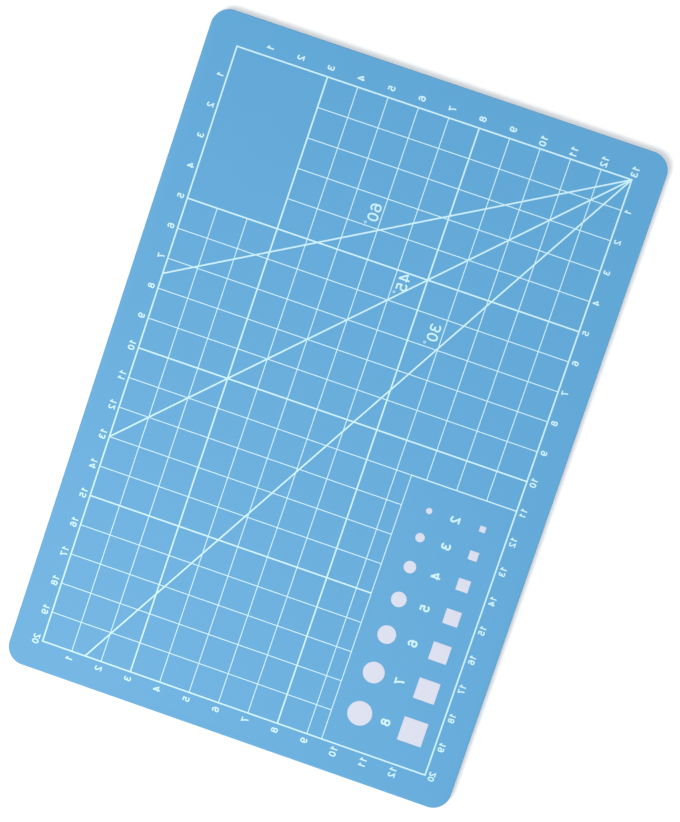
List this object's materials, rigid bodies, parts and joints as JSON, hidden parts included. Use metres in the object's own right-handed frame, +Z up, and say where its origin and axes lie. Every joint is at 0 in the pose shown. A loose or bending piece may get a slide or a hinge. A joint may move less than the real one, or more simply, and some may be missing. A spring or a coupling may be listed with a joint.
{
  "type": "self-healing cutting mat",
  "caption": "Thin rectangular cutting mat with rounded corners, a bonded plastic laminate with a ruled grid, angle lines and size marks in white ink on its face.",
  "frame": {"origin": "under the middle of the board, on the face of the back skin that rests on the table", "axes": "+X along the long side, +Y along the short side, +Z up through the printed face"},
  "size_m": [0.22, 0.15, 0.003],
  "materials": {
    "skin": "matte, fine pebbled texture",
    "healing_sheet": "die-cut edge, matte",
    "core": "die-cut edge, matte",
    "ink": "screen-printed ink, satin"
  },
  "bodies": {
    "root": {"back_skin": "skin", "lower_healing_sheet": "healing_sheet", "rigid_core": "core", "upper_healing_sheet": "healing_sheet", "face_skin": "skin", "ruled_scale": "ink", "disc_mark_2": "ink", "disc_mark_3": "ink", "disc_mark_4": "ink", "disc_mark_5": "ink", "disc_mark_6": "ink", "disc_mark_7": "ink", "disc_mark_8": "ink", "square_mark_2": "ink", "square_mark_3": "ink", "square_mark_4": "ink", "square_mark_5": "ink", "square_mark_6": "ink", "square_mark_7": "ink", "square_mark_8": "ink"}
  },
  "joints": []
}
